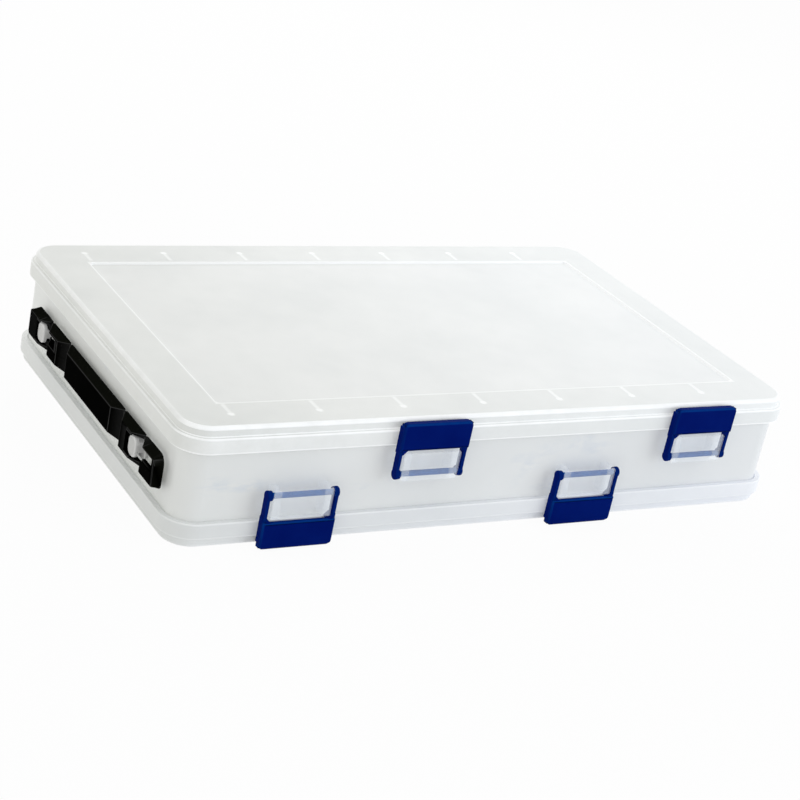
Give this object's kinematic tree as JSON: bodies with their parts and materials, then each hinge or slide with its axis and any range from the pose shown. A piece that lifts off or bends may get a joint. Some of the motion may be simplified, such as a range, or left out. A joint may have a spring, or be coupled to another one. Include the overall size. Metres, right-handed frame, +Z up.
{
  "type": "double-sided lure box",
  "caption": "Flat two-sided lure box with a hinged lid on each face, divided bays, snap latches along the front edge and a folding strap handle on one end.",
  "frame": {"origin": "centre of the plane the box stands on, which is the outer face of the lower lid; centre of the lids' outline, not counting latches, hinges and handle", "axes": "+X along the box, away from the carrying handle; -Y is the latch side and +Y the hinge side; +Z up, from the lower lid to the upper lid"},
  "size_m": [0.2733, 0.1779, 0.047],
  "materials": {
    "frosted": "milky translucent polypropylene, smooth",
    "clear": "clear translucent polypropylene, smooth",
    "latch_blue": "satin royal blue",
    "handle_black": "satin black polypropylene"
  },
  "bodies": {
    "case": {"case_walls": "frosted", "case_plate": "frosted", "divider_upper_1": "frosted", "divider_upper_2": "frosted", "divider_upper_3": "frosted", "divider_upper_4": "frosted", "divider_upper_5": "frosted", "divider_upper_6": "frosted", "divider_upper_7": "frosted", "divider_lower_1": "frosted", "divider_lower_2": "frosted", "divider_lower_3": "frosted", "divider_lower_4": "frosted", "divider_lower_5": "frosted", "divider_lower_6": "frosted", "divider_lower_7": "frosted", "bracket_upper_left": "clear", "bracket_upper_right": "clear", "bracket_lower_left": "clear", "bracket_lower_right": "clear", "clip_upper_left": "clear", "clip_upper_right": "clear", "clip_lower_left": "clear", "clip_lower_right": "clear", "peg_back": "clear", "peg_front": "clear"},
    "lid_upper": {"lid_upper": "frosted"},
    "lid_lower": {"lid_lower": "frosted"},
    "latch_upper_left": {"latch_upper_left": "latch_blue"},
    "latch_upper_right": {"latch_upper_right": "latch_blue"},
    "latch_lower_left": {"latch_lower_left": "latch_blue"},
    "latch_lower_right": {"latch_lower_right": "latch_blue"},
    "handle_end_back": {"handle_end_back": "handle_black"},
    "handle_link_back": {"handle_link_back": "handle_black"},
    "handle_grip": {"handle_grip": "handle_black"},
    "handle_link_front": {"handle_link_front": "handle_black"},
    "handle_end_front": {"handle_end_front": "handle_black"}
  },
  "joints": [
    {"name": "lid_upper_hinge", "type": "hinge", "parent": "case", "child": "lid_upper", "pos_m": [0, 0.0872, 0.0362], "axis": [-1, 0, 0], "range_deg": [0, 180]},
    {"name": "lid_lower_hinge", "type": "hinge", "parent": "case", "child": "lid_lower", "pos_m": [0, 0.0872, 0.0108], "axis": [1, 0, 0], "range_deg": [0, 180]},
    {"name": "latch_upper_left_hinge", "type": "hinge", "parent": "case", "child": "latch_upper_left", "pos_m": [-0.0367, -0.0864, 0.0262], "axis": [1, 0, 0], "range_deg": [0, 130]},
    {"name": "latch_upper_right_hinge", "type": "hinge", "parent": "case", "child": "latch_upper_right", "pos_m": [0.087, -0.0864, 0.0262], "axis": [1, 0, 0], "range_deg": [0, 130]},
    {"name": "latch_lower_left_hinge", "type": "hinge", "parent": "case", "child": "latch_lower_left", "pos_m": [-0.087, -0.0864, 0.0208], "axis": [-1, 0, 0], "range_deg": [0, 130]},
    {"name": "latch_lower_right_hinge", "type": "hinge", "parent": "case", "child": "latch_lower_right", "pos_m": [0.0367, -0.0864, 0.0208], "axis": [-1, 0, 0], "range_deg": [0, 130]},
    {"name": "handle_slide", "type": "slide", "parent": "case", "child": "handle_end_back", "axis": [0, -1, 0], "range_m": [0, 0.0052]},
    {"name": "handle_lift", "type": "hinge", "parent": "handle_end_back", "child": "handle_link_back", "pos_m": [-0.1349, 0.04405, 0.0235], "axis": [0, 0, -1], "range_deg": [0, 60]},
    {"name": "handle_grip_hinge", "type": "hinge", "parent": "handle_link_back", "child": "handle_grip", "pos_m": [-0.1349, 0.02375, 0.0235], "axis": [0, 0, 1], "range_deg": [0, 60]},
    {"name": "handle_link_hinge", "type": "hinge", "parent": "handle_grip", "child": "handle_link_front", "pos_m": [-0.1349, -0.03365, 0.0235], "axis": [0, 0, 1], "range_deg": [0, 60]},
    {"name": "handle_foot_hinge", "type": "hinge", "parent": "handle_link_front", "child": "handle_end_front", "pos_m": [-0.1349, -0.05395, 0.0235], "axis": [0, 0, -1], "range_deg": [0, 60]}
  ],
  "couplings": [
    {"joint": "handle_slide", "follows": "handle_lift", "m_per_rad": 0.0049651},
    {"joint": "handle_grip_hinge", "follows": "handle_lift", "ratio": 1},
    {"joint": "handle_link_hinge", "follows": "handle_lift", "ratio": 1},
    {"joint": "handle_foot_hinge", "follows": "handle_lift", "ratio": 1}
  ]
}
